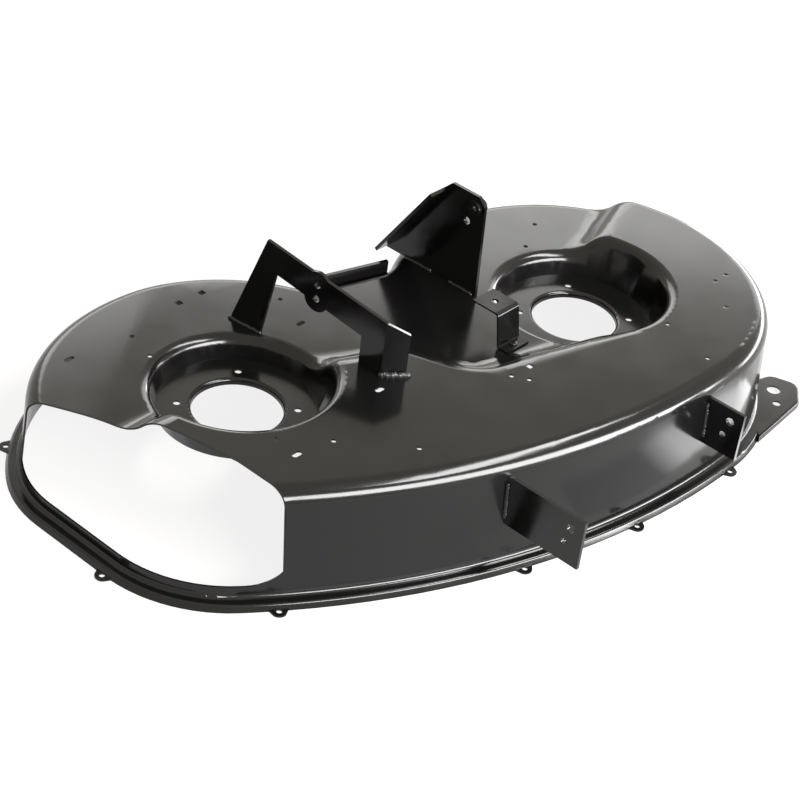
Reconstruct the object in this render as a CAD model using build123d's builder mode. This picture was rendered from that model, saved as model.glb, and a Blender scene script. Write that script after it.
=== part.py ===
from build123d import *
from math import atan2, cos, degrees, hypot, radians, tan
import os

# Sheet metal
sheet = 2.5
plate = 5.0

# Heights above the ground line of the rim
floor_z = 100.0
low_z = 130.0
high_z = 160.0
ledge_z = 9.0

# Spindle places, seen from above, with the left one set back
spindle_mid_x = -5.7
spindle_mid_y = 16.0
spindle_pitch = 520.0
spindle_stagger = 147.0

# Plan of the skirt at its top
end_radius = 265.0
front_radius = 1100.0
front_turn = 2.0
mouth_flat = 23.0
waist_in = 97.0
waist_radius = 60.0
rear_corner_radius = 140.0
front_corner_radius = 170.0
skirt_draft = 4.0
top_edge_radius = 24.0

# Rim
ledge_width = 14.0
lip_flare = 4.0
ledge_fillet = 6.0
lip_bend = 4.0

# Foot of the step between the low and the high level of the top, and its slope
step_radius = 46.0
step_slope = 45.0
step_corner_radius = 36.0
mouth_step_y = 19.5
arch_step_x = 228.0
arch_step_y = -76.0
keeper_step_x = -256.0
keeper_step_y = -23.0
keeper_step_share = 0.4
hump_step_x = 30.5
hump_step_y = 58.0
hump_step_angle = 20.0
end_bend_x = -173.0
end_bend_y = 51.5
end_bend_angle = 34.5
end_bend_radius = 400.0
end_bend_slope = 5.0

# Spindle pockets
pocket_floor_radius = 106.0
pocket_draft = 18.0
pocket_floor_fillet = 12.0
pocket_lip_fillet = 16.0
spindle_hole_d = 120.0
collar_depth = 9.0
collar_bend = 5.0
bolt_circle_d = 156.0
bolt_hole_d = 9.5
# Discharge mouth in the left end of the skirt
stub_z = 25.0
mouth_front_radius = 38.0
mouth_rear_radius = 14.0
mouth_rear_angle = 143.0
mouth_bow = 135.0
mouth_deep = 136.0
mouth_mid = 163.0
# Rim ears and the flat tab at the right front
ear_base = 44.0
ear_depth = 30.0
ear_side = 62.0
ear_corner_radius = 9.0
ear_edge = 9.0
ear_out = 2.0
ear_hole_d = 7.5
tab_corner_radius = 20.0
tab_large_hole_d = 20.0
tab_small_hole_d = 12.0
# Holes in the top
round_hole_d = 7.0
square_hole = 9.0
slot_length = 15.0
slot_width = 8.0
dent_radius = 8.0
dent_depth = 1.2
# Front hangers
hanger_out = 60.5
hanger_top_z = 138.0
hanger_tall = 72.0
hanger_left_x = -140.0
hanger_right_x = 200.0
hanger_top_radius = 8.0
hanger_base_radius = 12.0
hanger_pin_d = 12.0
hanger_bolt_d = 9.0
hanger_pin_in = 19.0
hanger_bolt_in = 25.5
hanger_pin_down = 19.0
hanger_bolt_down = 43.0
# Arch bracket
arch_rear_x = -155.0
arch_rear_y = 170.0
arch_angle = -83.9
arch_span = 222.0
arch_apex_z = 275.0
arch_front_z = 240.0
arch_leg = 51.0
arch_front_leg = 36.0
arch_bar = 44.0
arch_flange = 33.0
arch_flange_angle = -40.0
arch_flange_drop = 18.0
lobe_at = 110.0
lobe_radius = 19.0
lobe_hole_d = 10.0
lobe_hole_gap = 21.0
# Centre plate with its bushing
centre_x = 145.0
centre_front_y = 20.0
centre_rear_y = 190.0
centre_top_z = 282.0
centre_top_front_y = 26.0
centre_top_rear_y = 98.0
centre_flange = 32.0
centre_flange_short = 14.0
centre_chamfer = 12.0
bushing_y = 41.0
bushing_z = 264.0
bushing_d = 22.0
bushing_bore_d = 12.0
bushing_length = 18.0
centre_hole_d = 11.0
centre_hole_y = 53.0
centre_hole_z = 238.0
# Keeper bracket
keeper_x = 73.0
keeper_width = 44.0
keeper_top_z = 181.0
keeper_top_rear_y = -29.0
keeper_top_front_y = -72.0
keeper_foot_y = -81.0
keeper_foot_front_y = -100.0
keeper_hole_d = 10.0
keeper_bend = 4.0
rivet_d = 6.5
rivet_head_d = 11.0
rivet_head_tall = 3.0
# Strip along the rear edge of the waist
strip_rise = 12.0
strip_lap = 34.0
strip_length = 118.0
strip_thick = 3.0

left = Vector(spindle_mid_x - spindle_pitch / 2, spindle_mid_y + spindle_stagger / 2)
right = Vector(spindle_mid_x + spindle_pitch / 2, spindle_mid_y - spindle_stagger / 2)
spindle_line = degrees(atan2(right.Y - left.Y, right.X - left.X))
spindle_gap = hypot(right.X - left.X, right.Y - left.Y)
reach = 3 * spindle_pitch
front_centre = right + Vector(0, front_radius - end_radius).rotate(Axis.Z, front_turn)
front_touch = right + Vector(0, -end_radius).rotate(Axis.Z, front_turn)
mouth_x = left.X - end_radius + mouth_flat
waist_reach = end_radius - waist_in
skirt_spread = high_z * tan(radians(skirt_draft))

# Plan of the skirt: an arc round each spindle, a straight waist behind, a long bow in front
with BuildSketch() as skirt_plan:
    with Locations(left, right):
        Circle(end_radius)
    with Locations(Location((spindle_mid_x, spindle_mid_y), spindle_line)):
        Rectangle(spindle_gap, waist_reach, align=(Align.CENTER, Align.MIN))
    with BuildLine():
        Polyline((mouth_x, left.Y), left, right, front_touch, (front_touch.X, -reach), (mouth_x, -reach),
                 close=True)
    make_face()
    with Locations(front_centre):
        Circle(front_radius, mode=Mode.INTERSECT)
    with Locations((mouth_x, 0)):
        Rectangle(reach, reach, align=(Align.MIN, Align.CENTER), mode=Mode.INTERSECT)
    corners = skirt_plan.vertices()
    mouth_corners = corners.group_by(Axis.X)[0].sort_by(Axis.Y)
    waist = Vector(spindle_mid_x, spindle_mid_y) + Vector(0, waist_reach).rotate(Axis.Z, spindle_line)
    fillet(corners.sort_by_distance(waist)[:2], waist_radius)
    fillet(skirt_plan.vertices().sort_by_distance(mouth_corners[1])[0], rear_corner_radius)
    fillet(skirt_plan.vertices().sort_by_distance(mouth_corners[0])[0], front_corner_radius)


def skirt_at(grow):
    with BuildSketch() as outline:
        add(skirt_plan.sketch)
        if grow:
            offset(amount=grow, kind=Kind.ARC, mode=Mode.REPLACE)
    return outline.sketch



def level_edges(body, level):
    """Edges of body that lie flat at a level, without those of its far sides."""
    boxes = [(edge, edge.bounding_box()) for edge in body.edges()]
    return [edge for edge, box in boxes
            if box.max.Y < reach / 2 and abs(box.min.Z - level) < 0.1 and abs(box.max.Z - level) < 0.1]


def side_plane(origin, angle):
    """An upright plane across a line at angle, with its x axis to the left of the line."""
    along = Vector(1, 0, 0).rotate(Axis.Z, angle)
    return Plane(origin=(origin.X, origin.Y, 0), x_dir=along.rotate(Axis.Z, 90), z_dir=along)


def low_tool(inset):
    """What lies above the high level, the low rear area and the S-shaped step between them."""
    mouth_step = left + Vector(0, mouth_step_y)
    keeper_step = right + Vector(keeper_step_x, keeper_step_y)
    keeper_run = Vector(spindle_pitch * keeper_step_share).rotate(Axis.Z, spindle_line)
    hump = right + Vector(hump_step_x, hump_step_y)
    with BuildPart() as tool:
        with BuildSketch(Plane.XY.offset(low_z - inset)) as low_area:
            with BuildLine():
                Polyline((-reach, mouth_step.Y), mouth_step, left + Vector(arch_step_x, arch_step_y),
                         keeper_step, keeper_step + keeper_run, hump,
                         hump + Vector(reach).rotate(Axis.Z, hump_step_angle),
                         (reach, reach), (-reach, reach), close=True)
            make_face()
            bends = low_area.vertices().sort_by_distance(Vector(spindle_mid_x, spindle_mid_y))[:2]
            fillet(bends, step_corner_radius)
            if inset:
                grow = inset * tan(radians(step_slope / 2))
                offset(amount=grow, kind=Kind.INTERSECTION, mode=Mode.REPLACE)
        extrude(amount=high_z - low_z, taper=-step_slope)
        with BuildSketch(Plane.XY.offset(high_z - inset)):
            Rectangle(4 * reach, 4 * reach)
        extrude(amount=high_z)
        fillet(level_edges(tool, low_z - inset), step_radius + inset)
        fillet(level_edges(tool, high_z - inset), step_radius - inset)
    return tool.part


def end_bend_tool(inset):
    """What lies above the left end, which bends gently down outside a slanting line."""
    with BuildPart() as tool:
        bend_plane = side_plane(left + Vector(end_bend_x, end_bend_y), end_bend_angle)
        with BuildSketch(bend_plane.offset(-end_radius)):
            with BuildLine():
                bend = CenterArc((0, low_z - end_bend_radius), end_bend_radius - inset, 90, -end_bend_slope)
                slope = PolarLine(bend @ 1, end_radius, -end_bend_slope)
                Polyline(slope @ 1, (end_radius, 2 * high_z), (0, 2 * high_z), bend @ 0)
            make_face()
        extrude(amount=3 * end_radius)
    return tool.part


def pocket_tool(centre, inset):
    """A pocket with sloping wall, filleted floor and a round axis at centre."""
    lean = tan(radians(pocket_draft))
    base_z = floor_z - inset
    base_radius = pocket_floor_radius - inset * lean + inset / cos(radians(pocket_draft))
    with BuildPart() as tool:
        with BuildSketch(Plane(origin=(centre.X, centre.Y, 0), x_dir=(1, 0, 0), z_dir=(0, -1, 0))):
            with BuildLine():
                Polyline((0, base_z), (base_radius, base_z), (base_radius + high_z * lean, base_z + high_z),
                         (0, base_z + high_z), close=True)
            make_face()
            fillet(vertices().group_by(Axis.Z)[0].sort_by(Axis.X)[-1], pocket_floor_fillet + inset)
        revolve(axis=Axis((centre.X, centre.Y, 0), (0, 0, 1)))
    return tool.part


def mouth_tool():
    """The space of the discharge mouth, open to the left and above the low stub of the skirt."""
    foot_spread = skirt_spread * (1 - stub_z / high_z)
    inner_x = left.X - mouth_deep
    with BuildSketch() as slit:
        add(skirt_at(foot_spread))
        with Locations((inner_x, 0)):
            Rectangle(sheet, 2 * reach, mode=Mode.INTERSECT)
    front_y = slit.sketch.bounding_box().min.Y
    rear_end = left + Vector(end_radius + foot_spread).rotate(Axis.Z, mouth_rear_angle)
    front_end = Vector(inner_x, front_y)
    across = (front_end - rear_end).normalized()
    outward = across.cross(Vector(0, 0, 1))
    with BuildPart() as tool:
        with BuildSketch(Plane.XY.offset(stub_z)):
            with BuildLine():
                bow = ThreePointArc(rear_end, left + Vector(-mouth_mid, 0),
                                    left + Vector(-mouth_deep, -mouth_bow))
                Polyline(bow @ 1, (inner_x, -reach), (-reach, -reach), (-reach, rear_end.Y), bow @ 0)
            make_face()
        extrude(amount=2 * high_z)
        opening_plane = Plane(origin=(rear_end.X, rear_end.Y, stub_z), x_dir=across, z_dir=outward)
        with BuildSketch(opening_plane) as opening:
            Rectangle((front_end - rear_end).length, 3 * high_z, align=Align.MIN)
            foot = opening.vertices().group_by(Axis.Z)[0].sort_by(Axis.Y)
            fillet(foot[0], mouth_front_radius)
            fillet(foot[1], mouth_rear_radius)
        extrude(amount=reach, both=True, mode=Mode.INTERSECT)
    return tool.part


def deck_form(inset):
    """The solid under the top and inside the skirt, drawn inset from the outer face of the sheet."""
    with BuildPart() as form:
        with BuildSketch(Plane.XY):
            add(skirt_at(skirt_spread - inset))
        with BuildSketch(Plane.XY.offset(high_z)):
            add(skirt_at(-inset))
        loft(ruled=True)
        add(low_tool(inset), mode=Mode.SUBTRACT)
        add(end_bend_tool(inset), mode=Mode.SUBTRACT)
        add(mouth_tool(), mode=Mode.SUBTRACT)
        boxes = [(face, face.bounding_box()) for face in form.faces()]
        skirt = ShapeList(face for face, box in boxes if box.min.Z < sheet and box.max.Z > floor_z)
        rim_edges = skirt.edges().filter_by(lambda edge: edge.bounding_box().min.Z > floor_z)
        fillet(rim_edges, top_edge_radius - inset)
        for centre in (left, right):
            add(pocket_tool(centre, inset), mode=Mode.SUBTRACT)
        walls = form.faces().filter_by(GeomType.CONE)
        walls = walls.filter_by(lambda face: abs(face.center().Z - (floor_z + low_z) / 2) < low_z - floor_z)
        lips = walls.edges().filter_by(lambda edge: edge.bounding_box().min.Z > low_z - 2 * sheet)
        fillet(lips, pocket_lip_fillet - inset)
    return form.part


def rim_form(inset):
    """The flat ledge round the foot of the skirt with its turned-down lip and the tab."""
    drop = ledge_z - inset
    spread = skirt_spread - inset
    ledge = spread * (1 - drop / high_z) + ledge_width
    with BuildPart() as rim:
        with BuildSketch(Plane.XY):
            add(skirt_at(ledge + lip_flare))
        with BuildSketch(Plane.XY.offset(drop)):
            add(skirt_at(ledge))
        loft(ruled=True)
        with BuildSketch() as tab:
            with BuildLine():
                Polyline(*tab_corners, close=True)
            make_face()
            fillet(tab.vertices().sort_by_distance(right)[2:], tab_corner_radius)
            if inset:
                offset(amount=-inset, kind=Kind.ARC, mode=Mode.REPLACE)
        extrude(amount=drop)
        fillet(level_edges(rim, drop), lip_bend - inset)
    return rim.part


def pressing(inset):
    """Deck and rim in one solid, with a soft bend where the skirt runs out into the ledge."""
    with BuildPart() as body:
        add(deck_form(inset))
        add(rim_form(inset))
        boxes = [(face, face.bounding_box()) for face in body.faces()]
        skirt = ShapeList(face for face, box in boxes
                          if abs(box.min.Z - ledge_z + inset) < 0.1 and box.max.Z > stub_z - sheet)
        foot = [edge for edge in skirt.edges() if edge.bounding_box().max.Z < ledge_z - inset + 0.1]
        fillet(foot, ledge_fillet + inset)
    return body.part


# Ears stand on the outer line of the rim, square to it, and the tab at the right front
ear_marks = [left + Vector(-197, 218), left + Vector(-268, -53), left + Vector(-155, -240),
             left + Vector(139, -386), right + Vector(-198, -270), right + Vector(-4, -283)]
rim_line = skirt_at(skirt_spread + ledge_width + lip_flare + ear_out).wire()
ears = [rim_line.closest_points(Vertex(mark))[0] for mark in ear_marks]
roots = [skirt_plan.wire().closest_points(Vertex(ear))[0] for ear in ears]
ear_places = [Location(ear, degrees(atan2(ear.Y - root.Y, ear.X - root.X)) - 90)
              for ear, root in zip(ears, roots)]
tab_corners = [right + Vector(85, -283), right + Vector(205, -272), right + Vector(244, -246),
               right + Vector(230, -205), right + Vector(150, -180)]
round_marks = [right + Vector(8, -145), right + Vector(-16, -229), right + Vector(-257, -86),
               right + Vector(-245, -106), left + Vector(-18, -181), left + Vector(53, -259),
               left + Vector(-29, 171), left + Vector(-41, 123), left + Vector(187, 111),
               right + Vector(106, 165), right + Vector(47, 134)]
square_marks = [right + Vector(-221, -87), left + Vector(-72, -135), left + Vector(73, 190),
                left + Vector(114, 189)]
slot_marks = [left + Vector(106, -144), left + Vector(-72, -171), left + Vector(-121, 188),
              left + Vector(167, 53)]
dent_marks = [right + Vector(179, -123), right + Vector(153, -123), right + Vector(109, -172)]
tab_large = right + Vector(200, -230)
tab_small = right + Vector(175, -252)

# Deck shell: one stamped sheet with the rim, the pockets, the mouth and every hole
outer = deck_form(0)
with BuildPart() as deck_shell:
    add(pressing(0))
    with BuildSketch():
        with Locations(*ear_places):
            with Locations((0, ear_edge)):
                Trapezoid(ear_base, ear_depth, ear_side, align=(Align.CENTER, Align.MAX))
        fillet(vertices(), ear_corner_radius)
    extrude(amount=sheet)
    add(pressing(sheet), mode=Mode.SUBTRACT)
    with Locations(*[(mark.X, mark.Y, high_z + dent_radius - dent_depth) for mark in dent_marks]):
        Sphere(dent_radius, mode=Mode.SUBTRACT)
    with BuildSketch(Plane.XY.offset(floor_z)):
        with Locations(left, right):
            Circle(spindle_hole_d / 2 + sheet)
    extrude(amount=-collar_depth)
    with BuildSketch(Plane.XY.offset(2 * high_z)):
        with Locations(left, right):
            Circle(spindle_hole_d / 2)
            with PolarLocations(bolt_circle_d / 2, 4, start_angle=45):
                Circle(bolt_hole_d / 2)
        with Locations(*round_marks):
            Circle(round_hole_d / 2)
        with Locations(*square_marks):
            Rectangle(square_hole, square_hole)
        with Locations(*slot_marks):
            SlotOverall(slot_length, slot_width)
        with Locations(*ears):
            Circle(ear_hole_d / 2)
        with Locations(tab_large):
            Circle(tab_large_hole_d / 2)
        with Locations(tab_small):
            Circle(tab_small_hole_d / 2)
    extrude(amount=-3 * high_z, mode=Mode.SUBTRACT)
    rounds = deck_shell.edges().filter_by(GeomType.CIRCLE)
    collars = rounds.filter_by(lambda edge: abs(edge.radius - spindle_hole_d / 2) < 0.01)
    fillet(collars.group_by(Axis.Z)[-1], collar_bend)


def hanger(face_x):
    """A front hanger plate, cut to the slope of the skirt it is welded to."""
    with BuildPart() as body:
        with BuildSketch(Plane(origin=(face_x, 0, 0), x_dir=(0, 1, 0), z_dir=(1, 0, 0))):
            with Locations((hanger_end, hanger_top_z)):
                Rectangle(end_radius, hanger_tall, align=(Align.MIN, Align.MAX))
            outer_corners = vertices().group_by(Axis.Y)[0].sort_by(Axis.Z)
            fillet(outer_corners[1], hanger_top_radius)
            fillet(outer_corners[0], hanger_base_radius)
            with Locations((hanger_end + hanger_pin_in, hanger_top_z - hanger_pin_down)):
                Circle(hanger_pin_d / 2, mode=Mode.SUBTRACT)
            with Locations((hanger_end + hanger_bolt_in, hanger_top_z - hanger_bolt_down)):
                Circle(hanger_bolt_d / 2, mode=Mode.SUBTRACT)
        extrude(amount=plate)
        add(outer, mode=Mode.SUBTRACT)
        inside = body.solids().sort_by(Axis.Y)[1:]
        if inside:
            add(inside, mode=Mode.SUBTRACT)
    return body.part


hanger_end = right.Y - end_radius - hanger_out
with BuildPart() as front_hanger_left:
    add(hanger(spindle_mid_x + hanger_left_x))
with BuildPart() as front_hanger_right:
    add(hanger(spindle_mid_x + hanger_right_x))

# Arch bracket: a bent plate that bridges the middle step, its front leg folded outward
arch_foot = Vector(spindle_mid_x + arch_rear_x, spindle_mid_y + arch_rear_y)
arch_along = Vector(1, 0, 0).rotate(Axis.Z, arch_angle)
arch_face = arch_along.cross(Vector(0, 0, 1))
arch_fold = arch_foot + arch_along * arch_span
flange_along = Vector(1, 0, 0).rotate(Axis.Z, arch_flange_angle)
with BuildPart() as arch_bracket:
    with BuildSketch(Plane(origin=(arch_foot.X, arch_foot.Y, 0), x_dir=arch_along, z_dir=arch_face)):
        with BuildLine():
            Polyline((-arch_leg / 2, low_z - sheet), (-arch_leg / 2, low_z), (arch_leg / 2, arch_apex_z),
                     (arch_span, arch_front_z), (arch_span, low_z), (arch_span - arch_front_leg, low_z),
                     (arch_span - arch_front_leg, arch_front_z - arch_bar + 8),
                     (arch_leg * 0.86, arch_apex_z - arch_bar),
                     (arch_leg / 2, low_z), (arch_leg / 2, low_z - sheet), close=True)
        make_face()
        with Locations((lobe_at, arch_apex_z - lobe_hole_gap * 1.9)):
            SlotCenterToCenter(lobe_hole_gap, 2 * lobe_radius, rotation=90)
            for side in (-0.5, 0.5):
                with Locations((0, side * lobe_hole_gap)):
                    Circle(lobe_hole_d / 2, mode=Mode.SUBTRACT)
    extrude(amount=-plate)
    with BuildSketch(Plane(origin=(arch_fold.X, arch_fold.Y, 0), x_dir=flange_along,
                           z_dir=flange_along.cross(Vector(0, 0, 1)))):
        with BuildLine():
            Polyline((0, low_z), (arch_flange, low_z), (arch_flange, arch_front_z - arch_flange_drop),
                     (0, arch_front_z), close=True)
        make_face()
    extrude(amount=-plate)
    add(outer, mode=Mode.SUBTRACT)

# Centre plate: a tall gusset with its rear edge folded over
centre_face = spindle_mid_x + centre_x
with BuildPart() as centre_plate:
    with BuildSketch(Plane(origin=(centre_face, spindle_mid_y, 0), x_dir=(0, 1, 0), z_dir=(1, 0, 0))):
        with BuildLine():
            Polyline((centre_front_y, low_z), (centre_top_front_y, centre_top_z - centre_chamfer),
                     (centre_top_front_y + centre_chamfer, centre_top_z),
                     (centre_top_rear_y - centre_chamfer, centre_top_z),
                     (centre_top_rear_y, centre_top_z - centre_chamfer), (centre_rear_y, low_z), close=True)
        make_face()
        with Locations((centre_hole_y, centre_hole_z)):
            Circle(centre_hole_d / 2, mode=Mode.SUBTRACT)
        with Locations((bushing_y, bushing_z)):
            Circle(bushing_d / 2, mode=Mode.SUBTRACT)
    extrude(amount=plate)
    slope = Vector(centre_rear_y - centre_top_rear_y, low_z + centre_chamfer - centre_top_z)
    slope_angle = degrees(atan2(slope.Y, slope.X))
    flange_mid = (centre_top_rear_y + slope.X / 2, centre_top_z - centre_chamfer + slope.Y / 2)
    with BuildSketch(Plane(origin=(centre_face, spindle_mid_y, 0), x_dir=(0, 1, 0), z_dir=(1, 0, 0))):
        with Locations(Location((flange_mid[0], flange_mid[1]), slope_angle)):
            with Locations((-centre_flange_short / 2, 0)):
                Rectangle(slope.length - centre_flange_short, plate, align=(Align.CENTER, Align.MAX))
    extrude(amount=-centre_flange)

with BuildPart() as centre_bushing:
    with BuildSketch(Plane(origin=(centre_face + plate / 2, spindle_mid_y, 0), x_dir=(0, 1, 0),
                           z_dir=(1, 0, 0))):
        with Locations((bushing_y, bushing_z)):
            Circle(bushing_d / 2)
            Circle(bushing_bore_d / 2, mode=Mode.SUBTRACT)
    extrude(amount=bushing_length / 2, both=True)

# Keeper bracket: a strip bent like a Z, held by one rivet
keeper_middle = spindle_mid_x + keeper_x + keeper_width / 2
rivet_y = spindle_mid_y + (keeper_foot_y + keeper_foot_front_y) / 2
with BuildPart() as keeper_bracket:
    with BuildSketch(Plane(origin=(spindle_mid_x + keeper_x, spindle_mid_y, 0), x_dir=(0, 1, 0),
                           z_dir=(1, 0, 0))):
        with BuildLine():
            bends = FilletPolyline((keeper_top_rear_y, keeper_top_z - sheet),
                                   (keeper_top_front_y, keeper_top_z - sheet),
                                   (keeper_foot_y, low_z), (keeper_foot_front_y, low_z), radius=keeper_bend)
            offset(bends, amount=sheet, side=Side.RIGHT)
        make_face()
    extrude(amount=keeper_width)
    with BuildSketch(Plane.XY.offset(keeper_top_z)):
        with Locations((keeper_middle, spindle_mid_y + (keeper_top_rear_y + keeper_top_front_y) / 2)):
            Circle(keeper_hole_d / 2)
        with Locations((keeper_middle, rivet_y)):
            Circle(rivet_d / 2)
    extrude(amount=-high_z, mode=Mode.SUBTRACT)
    add(outer, mode=Mode.SUBTRACT)

with BuildPart() as keeper_rivet:
    with BuildSketch(Plane.XY.offset(low_z)):
        with Locations((keeper_middle, rivet_y)):
            Circle(rivet_d / 2)
    extrude(amount=sheet)
    with BuildSketch(Plane.XY.offset(low_z + sheet)):
        with Locations((keeper_middle, rivet_y)):
            Circle(rivet_head_d / 2)
    extrude(amount=rivet_head_tall)
    fillet(keeper_rivet.edges().group_by(Axis.Z)[-1], rivet_head_tall * 0.6)
    add(outer, mode=Mode.SUBTRACT)

# Strip welded to the back of the waist, standing above the top
with BuildPart() as rear_edge_strip:
    with BuildSketch(Plane(origin=(spindle_mid_x, spindle_mid_y, low_z + strip_rise),
                           x_dir=Vector(1, 0, 0).rotate(Axis.Z, spindle_line), z_dir=(0, 0, 1))):
        with Locations((0, waist_reach)):
            Rectangle(strip_length, strip_thick + sheet, align=(Align.CENTER, Align.MIN))
    extrude(amount=-strip_lap)
    add(outer, mode=Mode.SUBTRACT)

os.makedirs("parts", exist_ok=True)
for name, label in ((deck_shell, "deck_shell"), (front_hanger_left, "front_hanger_left"),
                    (front_hanger_right, "front_hanger_right"), (arch_bracket, "arch_bracket"),
                    (centre_plate, "centre_plate"), (centre_bushing, "centre_bushing"),
                    (keeper_bracket, "keeper_bracket"), (keeper_rivet, "keeper_rivet"),
                    (rear_edge_strip, "rear_edge_strip")):
    name.part.label = label
    export_step(name.part, f"parts/{label}.step")
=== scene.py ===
from math import cos, pi, radians, sin

import bpy
from mathutils import Matrix, Vector


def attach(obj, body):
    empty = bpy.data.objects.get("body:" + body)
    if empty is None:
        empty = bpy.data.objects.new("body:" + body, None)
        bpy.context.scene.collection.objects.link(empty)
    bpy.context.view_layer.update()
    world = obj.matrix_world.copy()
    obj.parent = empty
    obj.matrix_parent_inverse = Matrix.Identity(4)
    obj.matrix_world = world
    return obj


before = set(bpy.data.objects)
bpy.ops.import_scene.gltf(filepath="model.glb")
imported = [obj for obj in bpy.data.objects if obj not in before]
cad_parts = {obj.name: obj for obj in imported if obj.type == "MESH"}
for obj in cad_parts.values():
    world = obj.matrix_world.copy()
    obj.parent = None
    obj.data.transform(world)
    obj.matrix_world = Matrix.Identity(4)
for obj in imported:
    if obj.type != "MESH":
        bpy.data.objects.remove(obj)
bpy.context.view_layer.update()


# Deck shell: one pressing of steel sheet with two spindle pockets, a raised front band,
# a discharge mouth at the left end and a turned rim with ears. It is dipped and baked in
# black enamel, so that the drawn edges carry long bright lines and the flats mirror the room.
def hex_linear(code):
    values = [int(code[i:i + 2], 16) / 255 for i in (1, 3, 5)]
    return [v / 12.92 if v <= 0.04045 else ((v + 0.055) / 1.055) ** 2.4 for v in values] + [1]


def add_node(tree, kind, inputs=(), **settings):
    node = tree.nodes.new(kind)
    for name, value in settings.items():
        setattr(node, name, value)
    for socket, value in dict(inputs).items():
        if isinstance(value, bpy.types.NodeSocket):
            tree.links.new(value, node.inputs[socket])
        else:
            node.inputs[socket].default_value = value
    return node


# Black baked enamel: a dark glossy film over steel. It mirrors the room softly; a faint orange
# peel some millimetres from crest to crest breaks the reflections, and where the film was
# handled it is a touch duller in cloudy patches, a few centimetres wide on the deck and plates.
def baked_enamel(name, colour, gloss_roughness, dull_roughness, peel_mm, peel_depth_mm, cloud_mm):
    film_ior = 1.4
    cloud_low, cloud_high = 0.35, 0.7
    material = bpy.data.materials.new(name)
    material.use_nodes = True
    tree = material.node_tree
    shader = tree.nodes["Principled BSDF"]
    shader.inputs["Base Color"].default_value = hex_linear(colour)
    shader.inputs["IOR"].default_value = film_ior
    place = add_node(tree, "ShaderNodeTexCoord").outputs["Object"]
    cloud = add_node(tree, "ShaderNodeTexNoise", {"Vector": place, "Scale": 1000 / cloud_mm, "Detail": 3.0})
    dull = add_node(tree, "ShaderNodeMapRange", {
        "Value": cloud.outputs["Fac"], "From Min": cloud_low, "From Max": cloud_high,
        "To Min": gloss_roughness, "To Max": dull_roughness})
    tree.links.new(dull.outputs["Result"], shader.inputs["Roughness"])
    peel = add_node(tree, "ShaderNodeTexNoise", {"Vector": place, "Scale": 1000 / peel_mm, "Detail": 1.0})
    bump = add_node(tree, "ShaderNodeBump", {"Height": peel.outputs["Fac"], "Strength": 1.0,
                                             "Distance": peel_depth_mm / 1000})
    tree.links.new(bump.outputs["Normal"], shader.inputs["Normal"])
    return material


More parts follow.
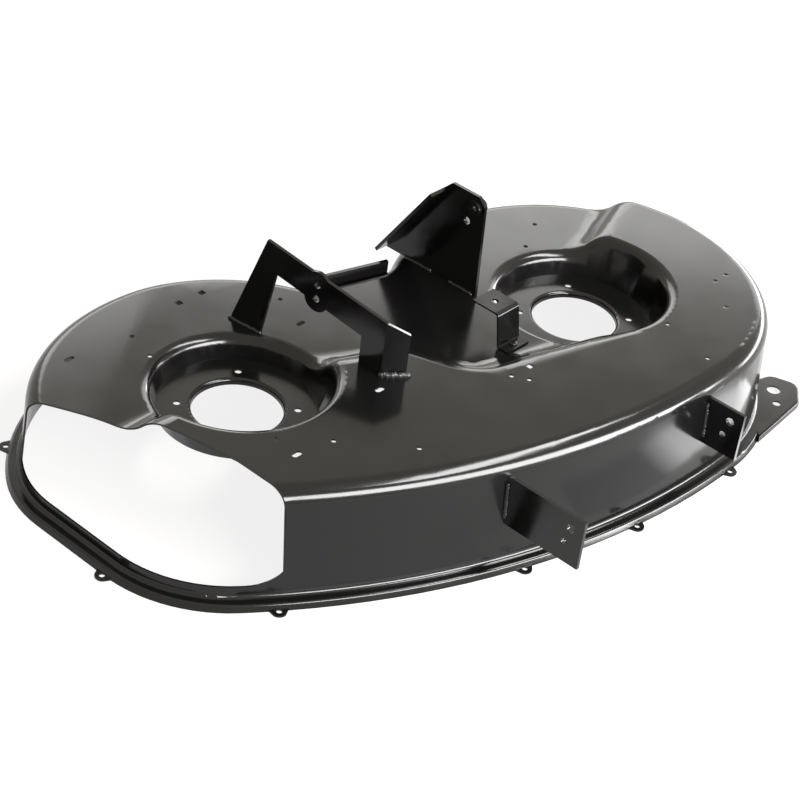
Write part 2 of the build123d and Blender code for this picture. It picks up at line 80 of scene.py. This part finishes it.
# The film is drawn smooth by a modifier, and the node's own mesh stays as it is. At each point the
# facets that meet within the crease angle share one direction, facets with short edges counting
# most, and a large flat lends its own direction so that flats stay flat.
def smooth_film_tree():
    tree = bpy.data.node_groups.new("smooth_film", "GeometryNodeTree")
    tree.interface.new_socket("Geometry", in_out="OUTPUT", socket_type="NodeSocketGeometry")
    tree.interface.new_socket("Pressing", in_out="INPUT", socket_type="NodeSocketGeometry")
    for name, default in (("Weld Distance", 0.00001), ("Crease Angle", radians(32)),
                          ("Flat Angle", radians(0.6)), ("Large Flat", 0.0003), ("Shortest Edge", 0.002)):
        socket = tree.interface.new_socket(name, in_out="INPUT", socket_type="NodeSocketFloat")
        socket.default_value = default
    given = add_node(tree, "NodeGroupInput").outputs

    # Facets become one sheet, parted again at its creases.
    whole = add_node(tree, "GeometryNodeMergeByDistance", {"Geometry": given["Pressing"],
                                                           "Distance": given["Weld Distance"]})
    turn = add_node(tree, "GeometryNodeInputMeshEdgeAngle").outputs["Unsigned Angle"]
    crease = add_node(tree, "ShaderNodeMath", {0: turn, 1: given["Crease Angle"]}, operation="GREATER_THAN")
    parted = add_node(tree, "GeometryNodeSplitEdges", {"Mesh": whole.outputs["Geometry"],
                                                       "Selection": crease.outputs["Value"]})

    # A flat is a patch of facets with no bend between them, and its whole area says if it is large.
    bend = add_node(tree, "ShaderNodeMath", {0: turn, 1: given["Flat Angle"]}, operation="GREATER_THAN")
    flats = add_node(tree, "GeometryNodeEdgesToFaceGroups", {"Boundary Edges": bend.outputs["Value"]})
    area = add_node(tree, "GeometryNodeInputMeshFaceArea").outputs["Area"]
    flat_area = add_node(tree, "GeometryNodeAccumulateField", {
        "Value": area, "Group ID": flats.outputs["Face Group ID"]}, data_type="FLOAT", domain="FACE")
    large = add_node(tree, "ShaderNodeMath", {0: flat_area.outputs["Total"], 1: given["Large Flat"]},
                     operation="GREATER_THAN").outputs["Value"]

    # Each corner of a facet has its two edges, and their cross product is the facet's direction.
    corner = add_node(tree, "GeometryNodeInputIndex").outputs["Index"]
    place = add_node(tree, "GeometryNodeInputPosition").outputs["Position"]
    points, spots = [], []
    for step in (0, 1, -1):
        beside = add_node(tree, "GeometryNodeOffsetCornerInFace", {"Corner Index": corner, "Offset": step})
        spot = add_node(tree, "GeometryNodeVertexOfCorner", {"Corner Index": beside.outputs["Corner Index"]})
        point = add_node(tree, "GeometryNodeFieldAtIndex", {
            "Index": spot.outputs["Vertex Index"], "Value": place}, data_type="FLOAT_VECTOR", domain="POINT")
        spots.append(spot.outputs["Vertex Index"])
        points.append(point.outputs["Value"])
    here, here_spot = points[0], spots[0]
    ahead, back = [add_node(tree, "ShaderNodeVectorMath", {0: point, 1: here}, operation="SUBTRACT")
                   for point in points[1:]]
    span = add_node(tree, "ShaderNodeVectorMath", {0: ahead.outputs["Vector"], 1: back.outputs["Vector"]},
                    operation="CROSS_PRODUCT").outputs["Vector"]
    lengths = []
    for edge in (ahead, back):
        length = add_node(tree, "ShaderNodeVectorMath", {0: edge.outputs["Vector"]}, operation="LENGTH")
        kept = add_node(tree, "ShaderNodeMath", {0: length.outputs["Value"], 1: given["Shortest Edge"]},
                        operation="MAXIMUM")
        lengths.append(kept.outputs["Value"])

    # The share of a corner falls with the square of both its edges.
    reach = add_node(tree, "ShaderNodeMath", {0: lengths[0], 1: lengths[1]}, operation="MULTIPLY")
    nearness = add_node(tree, "ShaderNodeMath", {0: reach.outputs["Value"], 1: -2.0}, operation="POWER")
    sums = []
    for weight in (nearness.outputs["Value"], large):
        share = add_node(tree, "ShaderNodeVectorMath", {0: span, "Scale": weight}, operation="SCALE")
        total = add_node(tree, "GeometryNodeAccumulateField", {
            "Value": share.outputs["Vector"], "Group ID": here_spot},
            data_type="FLOAT_VECTOR", domain="CORNER")
        sums.append(total.outputs["Total"])
    by_nearness, by_large_flats = sums
    touching = add_node(tree, "GeometryNodeAccumulateField", {"Value": large, "Group ID": here_spot},
                        data_type="FLOAT", domain="CORNER")
    chosen = add_node(tree, "GeometryNodeSwitch", {
        "Switch": touching.outputs["Total"], "False": by_nearness, "True": by_large_flats},
        input_type="VECTOR")
    direction = add_node(tree, "ShaderNodeVectorMath", {0: chosen.outputs["Output"]}, operation="NORMALIZE")
    soft = add_node(tree, "GeometryNodeSetShadeSmooth", {"Geometry": parted.outputs["Mesh"]})
    drawn = add_node(tree, "GeometryNodeSetMeshNormal", {
        "Mesh": soft.outputs["Geometry"], "Custom Normal": direction.outputs["Vector"]},
        mode="FREE", domain="CORNER")
    add_node(tree, "NodeGroupOutput", {"Geometry": drawn.outputs["Mesh"]})
    return tree


smooth_film = smooth_film_tree()


def coat(name, enamel):
    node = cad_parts[name]
    node.material_slots[0].material = enamel
    node.modifiers.new("smooth_film", "NODES").node_group = smooth_film


deck_enamel = baked_enamel("black_deck_enamel", "#0a0a0a", gloss_roughness=0.14, dull_roughness=0.18,
                           peel_mm=7, peel_depth_mm=0.004, cloud_mm=60)
coat("deck_shell", deck_enamel)

# Front hangers: two punched plates of 5 mm steel that stand square on the front of the skirt
# and carry the lift links. Each is welded along one side of its root before painting.
bracket_enamel = baked_enamel("black_bracket_enamel", "#090909", gloss_roughness=0.12, dull_roughness=0.2,
                              peel_mm=5, peel_depth_mm=0.004, cloud_mm=40)
coat("front_hanger_left", bracket_enamel)
coat("front_hanger_right", bracket_enamel)


# Weld bead: overlapping drops of molten steel laid along a joint, each a little different in
# size. Its enamel is the plates', with the colour a little lighter as painted sheen on its ripples.
def weld_bead_tree():
    smallest_drop, largest_drop = (0.5, 0.75, 0.75), (0.8, 1.15, 1.15)
    tree = bpy.data.node_groups.new("weld_bead", "GeometryNodeTree")
    tree.interface.new_socket("Geometry", in_out="OUTPUT", socket_type="NodeSocketGeometry")
    tree.interface.new_socket("Joint Line", in_out="INPUT", socket_type="NodeSocketGeometry")
    for name, default in (("Drop Pitch", 0.0025), ("Drop Radius", 0.003)):
        socket = tree.interface.new_socket(name, in_out="INPUT", socket_type="NodeSocketFloat")
        socket.default_value = default
    tree.interface.new_socket("Seed", in_out="INPUT", socket_type="NodeSocketInt").default_value = 1
    tree.interface.new_socket("Enamel", in_out="INPUT", socket_type="NodeSocketMaterial")
    given = add_node(tree, "NodeGroupInput").outputs
    line = add_node(tree, "GeometryNodeMeshToCurve", {"Mesh": given["Joint Line"]})
    drops_at = add_node(tree, "GeometryNodeCurveToPoints", {"Curve": line.outputs["Curve"],
                                                            "Length": given["Drop Pitch"]}, mode="LENGTH")
    drop = add_node(tree, "GeometryNodeMeshIcoSphere", {"Radius": given["Drop Radius"], "Subdivisions": 2})
    size = add_node(tree, "FunctionNodeRandomValue", {"Min": smallest_drop, "Max": largest_drop,
                                                      "Seed": given["Seed"]}, data_type="FLOAT_VECTOR")
    drops = add_node(tree, "GeometryNodeInstanceOnPoints", {
        "Points": drops_at.outputs["Points"], "Instance": drop.outputs["Mesh"],
        "Rotation": drops_at.outputs["Rotation"], "Scale": size.outputs["Value"]})
    plain = add_node(tree, "GeometryNodeRealizeInstances", {"Geometry": drops.outputs["Instances"]})
    soft = add_node(tree, "GeometryNodeSetShadeSmooth", {"Geometry": plain.outputs["Geometry"]})
    painted = add_node(tree, "GeometryNodeSetMaterial", {"Geometry": soft.outputs["Geometry"],
                                                         "Material": given["Enamel"]})
    add_node(tree, "NodeGroupOutput", {"Geometry": painted.outputs["Geometry"]})
    return tree


weld_tree = weld_bead_tree()
# The bead's colour is painted a little lighter than the plates' enamel, as painted sheen on its ripples.
weld_enamel = baked_enamel("black_weld_enamel", "#121212", gloss_roughness=0.12, dull_roughness=0.2,
                           peel_mm=2.5, peel_depth_mm=0.08, cloud_mm=6)


def weld_bead(name, joint_mm, seed, drop_pitch_mm=2.3, drop_radius_mm=4.0):
    line = bpy.data.meshes.new(name + "_line")
    line.from_pydata([[v / 1000 for v in point] for point in joint_mm], [(0, 1)], [])
    bead = bpy.data.objects.new(name, line)
    bpy.context.scene.collection.objects.link(bead)
    layer = bead.modifiers.new("weld_bead", "NODES")
    layer.node_group = weld_tree
    sockets = weld_tree.interface.items_tree
    given = {item.name: item.identifier for item in sockets if item.in_out == "INPUT"}
    layer[given["Drop Pitch"]] = drop_pitch_mm / 1000
    layer[given["Drop Radius"]] = drop_radius_mm / 1000
    layer[given["Seed"]] = seed
    layer[given["Enamel"]] = weld_enamel
    laid = bpy.data.meshes.new_from_object(bead.evaluated_get(bpy.context.evaluated_depsgraph_get()))
    bead.modifiers.clear()
    bead.data = laid
    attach(bead, "root")


hanger_left_root_mm = [(-146.2, -262.6, 126), (-146.2, -265.2, 78)]
hanger_right_root_mm = [(193.8, -325.6, 126), (193.8, -329, 78)]
weld_bead("hanger_left_weld", hanger_left_root_mm, seed=3)
weld_bead("hanger_right_weld", hanger_right_root_mm, seed=5)

# Arch bracket: a bent 5 mm plate over the pulley belt, with a lobe for the idler bolts and its
# front leg folded outwards. A heavy weld runs along the fold's foot and one along the rear foot.
arch_front_foot_mm = [(-138, -36.6, 161.2), (-112.5, -58, 161.2)]
arch_rear_foot_mm = [(-164.2, 210, 130.4), (-158.9, 161, 130.4)]
coat("arch_bracket", bracket_enamel)
weld_bead("arch_front_weld", arch_front_foot_mm, seed=7, drop_pitch_mm=3.2, drop_radius_mm=6.0)
weld_bead("arch_rear_weld", arch_rear_foot_mm, seed=11)

# Centre plate: a tall gusset with its rear edge folded over, and a turned bushing pressed through
# its upper corner for the rear lift link. It stands on two short welds.
centre_front_foot_mm = [(138.9, 44, 130.4), (138.9, 82, 130.4)]
centre_rear_foot_mm = [(138.9, 120, 130.4), (138.9, 165, 130.4)]
coat("centre_plate", bracket_enamel)
coat("centre_bushing", bracket_enamel)
weld_bead("centre_front_weld", centre_front_foot_mm, seed=13)
weld_bead("centre_rear_weld", centre_rear_foot_mm, seed=17)

# Keeper bracket: a strip of sheet bent like a Z that keeps the belt in place, and the round
# rivet that holds its foot. Both were fixed before the deck was dipped.
coat("keeper_bracket", bracket_enamel)
coat("keeper_rivet", bracket_enamel)

# Rear edge strip: a narrow plate along the back of the waist that stands above the top.
# It stiffens the edge and is coated with the rest.
coat("rear_edge_strip", bracket_enamel)

# Floor: a plain sweep of white paper under the part. It shows white to the eye and in the part's
# gloss, and its matte share keeps a faint shadow where the part stands on it.
floor_reach = 30
paper_glow = 0.85
floor_mesh = bpy.data.meshes.new("studio_floor")
floor_mesh.from_pydata([(-floor_reach, -floor_reach, 0), (floor_reach, -floor_reach, 0),
                        (floor_reach, floor_reach, 0), (-floor_reach, floor_reach, 0)], [], [(0, 1, 2, 3)])
studio_floor = bpy.data.objects.new("studio_floor", floor_mesh)
bpy.context.scene.collection.objects.link(studio_floor)
floor_paper = bpy.data.materials.new("white_floor_paper")
floor_paper.use_nodes = True
tree = floor_paper.node_tree
tree.nodes.clear()
path = add_node(tree, "ShaderNodeLightPath").outputs
direct = add_node(tree, "ShaderNodeMath", {0: path["Is Camera Ray"], 1: path["Is Transmission Ray"]},
                  operation="MAXIMUM")
seen = add_node(tree, "ShaderNodeMath", {0: direct.outputs["Value"], 1: path["Is Glossy Ray"]},
                operation="MAXIMUM")
lit = add_node(tree, "ShaderNodeMath", {0: seen.outputs["Value"], 1: paper_glow}, operation="MULTIPLY")
matte = add_node(tree, "ShaderNodeBsdfDiffuse", {"Color": hex_linear("#6e6c6a")})
glow = add_node(tree, "ShaderNodeEmission", {"Color": hex_linear("#ffffff"),
                                             "Strength": lit.outputs["Value"]})
paper = add_node(tree, "ShaderNodeAddShader", {0: matte.outputs["BSDF"], 1: glow.outputs["Emission"]})
add_node(tree, "ShaderNodeOutputMaterial", {"Surface": paper.outputs["Shader"]})
floor_mesh.materials.append(floor_paper)

# Floor card: a white board on the floor by the right front that glows by itself, a painted pool
# of light that the skirt mirrors between the two hangers. Its left end glows as white as the floor,
# and its painted light brightens towards the right.
card_lift = 0.001
card_outline = [(0.0, -0.35), (0.0, -0.44), (0.25, -0.468), (0.38, -0.455),
                (0.5, -0.4), (0.47, -0.33), (0.36, -0.374), (0.25, -0.38)]
brightens_from, bright_from = 0.17, 0.24
left_glow, right_glow = 1.0, 5.0
card_mesh = bpy.data.meshes.new("floor_card")
card_mesh.from_pydata([(x, y, card_lift) for x, y in card_outline], [], [range(len(card_outline))])
floor_card = bpy.data.objects.new("floor_card", card_mesh)
bpy.context.scene.collection.objects.link(floor_card)
card_board = bpy.data.materials.new("white_card_board")
card_board.use_nodes = True
tree = card_board.node_tree
tree.nodes.clear()
on_card = add_node(tree, "ShaderNodeTexCoord").outputs["Object"]
along = add_node(tree, "ShaderNodeSeparateXYZ", {"Vector": on_card})
# Painted light: the card's glow rises from floor white to five times white towards the right.
painted_light_ramp = add_node(tree, "ShaderNodeMapRange", {
    "Value": along.outputs["X"], "From Min": brightens_from, "From Max": bright_from,
    "To Min": left_glow, "To Max": right_glow})
glow = add_node(tree, "ShaderNodeEmission", {"Color": hex_linear("#ffffff"),
                                             "Strength": painted_light_ramp.outputs["Result"]})
add_node(tree, "ShaderNodeOutputMaterial", {"Surface": glow.outputs["Emission"]})
card_mesh.materials.append(card_board)

# Room: white walls behind the part and, a little warmer, in its gloss. They give a dim even light
# from all round.
room_fill, room_white = 0.25, 1.0
room = bpy.data.worlds.new("white_room")
bpy.context.scene.world = room
room.use_nodes = True
tree = room.node_tree
tree.nodes.clear()
path = add_node(tree, "ShaderNodeLightPath").outputs
direct = add_node(tree, "ShaderNodeMath", {0: path["Is Camera Ray"], 1: path["Is Transmission Ray"]},
                  operation="MAXIMUM")
gloss = add_node(tree, "ShaderNodeMapRange", {"Value": path["Is Glossy Ray"], "To Min": room_fill,
                                              "To Max": room_white})
strength = add_node(tree, "ShaderNodeMath", {0: direct.outputs["Value"], 1: gloss.outputs["Result"]},
                    operation="MAXIMUM")
tint = add_node(tree, "ShaderNodeMix", {"Factor": direct.outputs["Value"], "A": hex_linear("#fffbee"),
                                        "B": hex_linear("#ffffff")}, data_type="RGBA")
walls = add_node(tree, "ShaderNodeBackground", {"Color": tint.outputs["Result"],
                                                "Strength": strength.outputs["Value"]})
add_node(tree, "ShaderNodeOutputWorld", {"Surface": walls.outputs["Background"]})


# Lamps: four soft boxes aimed at the middle of the deck. The back box is what the flats mirror, the
# two side boxes draw the bright lines along the front edge and the pocket lips, and the end box
# stands off the right end.
def soft_box(name, azimuth, elevation, distance, width, height, radiance, roll=0):
    lamp = bpy.data.lights.new(name, "AREA")
    lamp.shape = "RECTANGLE"
    lamp.size = width
    lamp.size_y = height
    lamp.energy = radiance * pi * width * height
    box = bpy.data.objects.new(name, lamp)
    a, e = radians(azimuth), radians(elevation)
    away = Vector((cos(e) * cos(a), cos(e) * sin(a), sin(e)))
    facing = away.to_track_quat("Z", "Y").to_matrix().to_4x4()
    box.matrix_world = Matrix.Translation(away * distance) @ facing @ Matrix.Rotation(radians(roll), 4, "Z")
    bpy.context.scene.collection.objects.link(box)


soft_box("back_box", azimuth=40, elevation=22.3, distance=4.0, width=5.5, height=1.5, radiance=4.0, roll=5)
soft_box("high_side_box", azimuth=-53, elevation=60, distance=3.0, width=2.1, height=0.55, radiance=28)
soft_box("low_side_box", azimuth=-80, elevation=18.5, distance=3.0, width=4.4, height=1.1, radiance=30,
         roll=-25)
soft_box("end_box", azimuth=-8, elevation=9, distance=3.0, width=3.2, height=0.5, radiance=17)

# Camera: the photograph's own place and tilt, found from the spindle holes and the rim. Its lens
# follows from the focal length in pixels of the square photograph.
spindle_middle = Vector((-0.0057, 0.016, -0.001))
camera_offset = Vector((-1.8806, -1.4312, 1.7235))
camera_azimuth, camera_elevation, camera_roll = radians(37.531), radians(35.620), radians(7.852)
focal_pixels, photo_pixels = 2126.07, 800
forward = Vector((cos(camera_elevation) * cos(camera_azimuth), cos(camera_elevation) * sin(camera_azimuth),
                  -sin(camera_elevation)))
level = Vector((sin(camera_azimuth), -cos(camera_azimuth), 0))
upright = level.cross(forward)
side = cos(camera_roll) * level + sin(camera_roll) * upright
top = cos(camera_roll) * upright - sin(camera_roll) * level
aim = Matrix((side, top, -forward)).transposed().to_4x4()
lens = bpy.data.cameras.new("photo_camera")
lens.sensor_width = 36
lens.lens = lens.sensor_width * focal_pixels / photo_pixels
lens.clip_end = 100
photo_camera = bpy.data.objects.new("photo_camera", lens)
photo_camera.matrix_world = Matrix.Translation(spindle_middle + camera_offset) @ aim
bpy.context.scene.collection.objects.link(photo_camera)
bpy.context.scene.camera = photo_camera
bpy.context.scene.view_settings.view_transform = "Standard"
